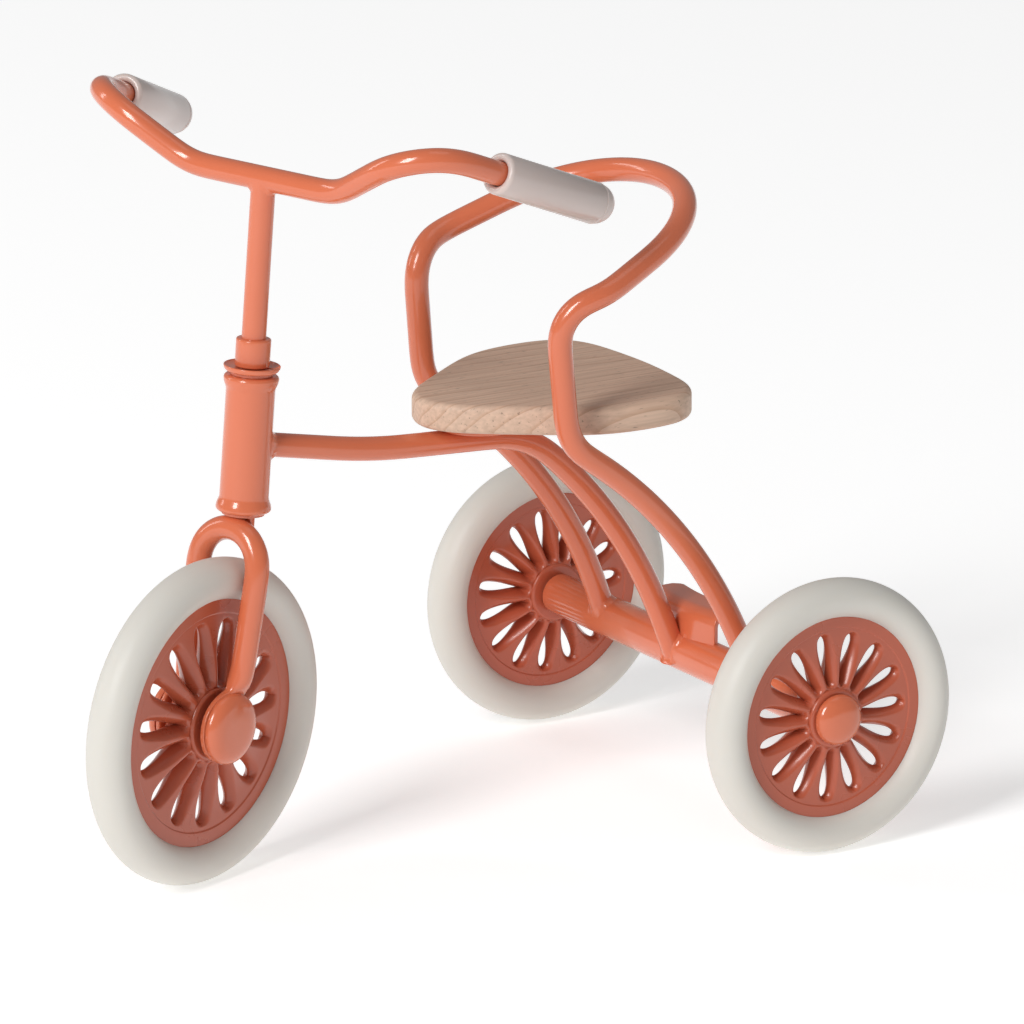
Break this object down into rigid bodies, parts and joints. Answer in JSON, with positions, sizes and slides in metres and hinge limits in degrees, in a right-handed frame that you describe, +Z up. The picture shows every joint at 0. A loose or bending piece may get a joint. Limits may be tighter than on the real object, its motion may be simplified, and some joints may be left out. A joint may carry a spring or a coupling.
{
  "type": "toy tricycle",
  "caption": "Small metal tricycle with a bent-rod frame, an arm and back hoop, a wooden seat, a turned handlebar with grips, and slotted wheels with solid round tyres.",
  "frame": {"origin": "on the ground, in the middle of the tricycle's footprint", "axes": "+X forward, +Y to the rider's left, +Z up"},
  "size_m": [0.118, 0.0854, 0.1043],
  "materials": {
    "coral_paint": "gloss coral powder coat",
    "coral_wheel": "satin coral paint",
    "tyre_rubber": "smooth milky rubber",
    "grip_vinyl": "translucent soft vinyl",
    "beech": "oiled beech",
    "nylon": "natural nylon",
    "steel": "plain steel"
  },
  "bodies": {
    "frame": {"head_tube": "coral_paint", "upper_head_bush": "nylon", "lower_head_bush": "nylon", "main_tube": "coral_paint", "arm_hoop": "coral_paint", "rear_axle_tube": "coral_paint", "rear_step": "coral_paint", "seat_plate": "coral_paint", "seat_board": "beech", "seat_screw_left": "steel", "seat_screw_right": "steel", "rear_axle_pin": "steel", "rear_left_washer": "steel", "rear_left_cap": "coral_paint", "rear_right_washer": "steel", "rear_right_cap": "coral_paint"},
    "steering": {"steerer": "coral_paint", "stem_tube": "coral_paint", "stem_collar": "coral_paint", "stop_washer": "coral_paint", "handlebar": "coral_paint", "left_grip": "grip_vinyl", "right_grip": "grip_vinyl", "fork": "coral_paint", "front_axle_pin": "steel", "front_left_spacer": "steel", "front_left_cap": "coral_paint", "front_right_spacer": "steel", "front_right_cap": "coral_paint"},
    "front_wheel": {"front_disc": "coral_wheel", "front_tyre": "tyre_rubber", "front_hub_bush": "nylon"},
    "rear_left_wheel": {"rear_left_disc": "coral_wheel", "rear_left_tyre": "tyre_rubber", "rear_left_hub_bush": "nylon"},
    "rear_right_wheel": {"rear_right_disc": "coral_wheel", "rear_right_tyre": "tyre_rubber", "rear_right_hub_bush": "nylon"}
  },
  "joints": [
    {"name": "steering", "type": "hinge", "parent": "frame", "child": "steering", "pos_m": [0.03233, 0.00321, 0.02186], "axis": [-0.0785, 0, 0.9969], "range_deg": [-110, 70]},
    {"name": "front_wheel_spin", "type": "hinge", "parent": "steering", "child": "front_wheel", "pos_m": [0.03786, 0.00523, 0.02229], "axis": [-0.341, 0.9397, -0.0268], "continuous": true},
    {"name": "rear_left_wheel_spin", "type": "hinge", "parent": "frame", "child": "rear_left_wheel", "pos_m": [-0.04, 0.03851, 0.019], "axis": [0, 1, 0], "continuous": true},
    {"name": "rear_right_wheel_spin", "type": "hinge", "parent": "frame", "child": "rear_right_wheel", "pos_m": [-0.04, -0.03209, 0.019], "axis": [0, 1, 0], "continuous": true}
  ]
}
